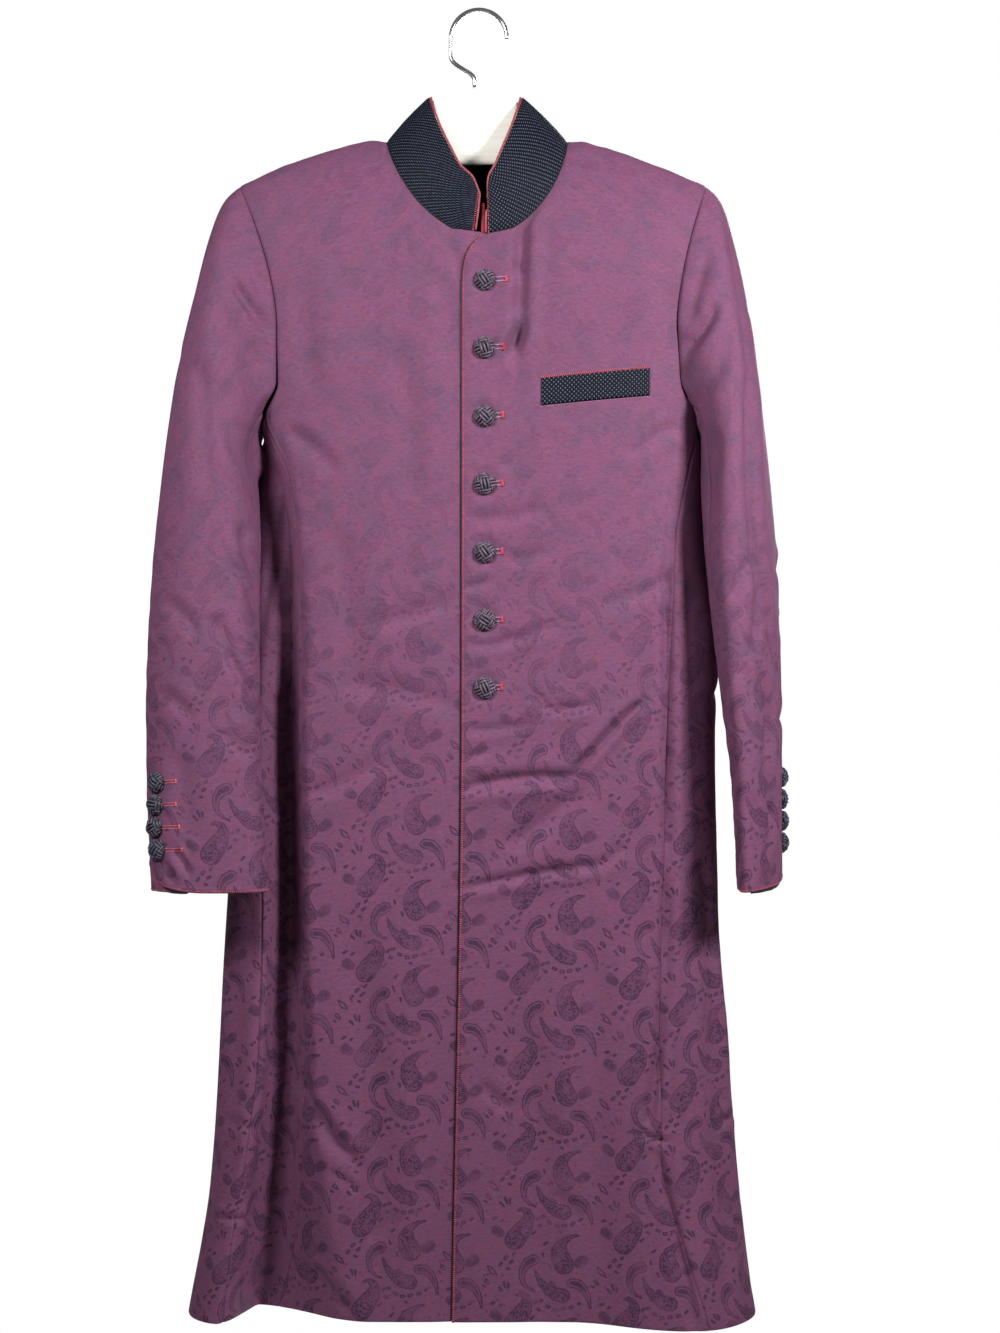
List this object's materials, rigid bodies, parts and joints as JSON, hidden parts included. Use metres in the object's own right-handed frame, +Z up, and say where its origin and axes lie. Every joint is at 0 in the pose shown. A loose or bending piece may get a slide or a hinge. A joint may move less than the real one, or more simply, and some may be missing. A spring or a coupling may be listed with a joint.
{
  "type": "sherwani coat on a hanger",
  "caption": "Knee-length sherwani coat with a band collar, buttoned front and button cuffs, on a wooden hanger with a wire hook.",
  "frame": {"origin": "inside top of the hanger's hook, where it rests on a rail", "axes": "+Z up along the coat, -Y the way the coat faces, +X the wearer's left side"},
  "size_m": [0.5947, 0.1752, 1.2221],
  "materials": {
    "plum_jacquard": "woven jacquard with a soft sheen",
    "black_basket_weave": "coarse basket weave",
    "red_piping": "satin cord",
    "dark_braid": "knotted braid",
    "pale_wood": "smooth lacquer",
    "chrome_wire": "polished"
  },
  "bodies": {
    "root": {"front_left": "plum_jacquard", "front_right": "plum_jacquard", "side_left": "plum_jacquard", "side_right": "plum_jacquard", "back": "plum_jacquard", "top_sleeve_left": "plum_jacquard", "top_sleeve_right": "plum_jacquard", "under_sleeve_left": "plum_jacquard", "under_sleeve_right": "plum_jacquard", "collar": "black_basket_weave", "collar_piping": "red_piping", "breast_welt": "black_basket_weave", "button_front_1": "dark_braid", "button_front_2": "dark_braid", "button_front_3": "dark_braid", "button_front_4": "dark_braid", "button_front_5": "dark_braid", "button_front_6": "dark_braid", "button_front_7": "dark_braid", "button_cuff_left_1": "dark_braid", "button_cuff_left_2": "dark_braid", "button_cuff_left_3": "dark_braid", "button_cuff_left_4": "dark_braid", "button_cuff_right_1": "dark_braid", "button_cuff_right_2": "dark_braid", "button_cuff_right_3": "dark_braid", "button_cuff_right_4": "dark_braid", "hanger_body": "pale_wood", "hanger_hook": "chrome_wire"}
  },
  "joints": []
}
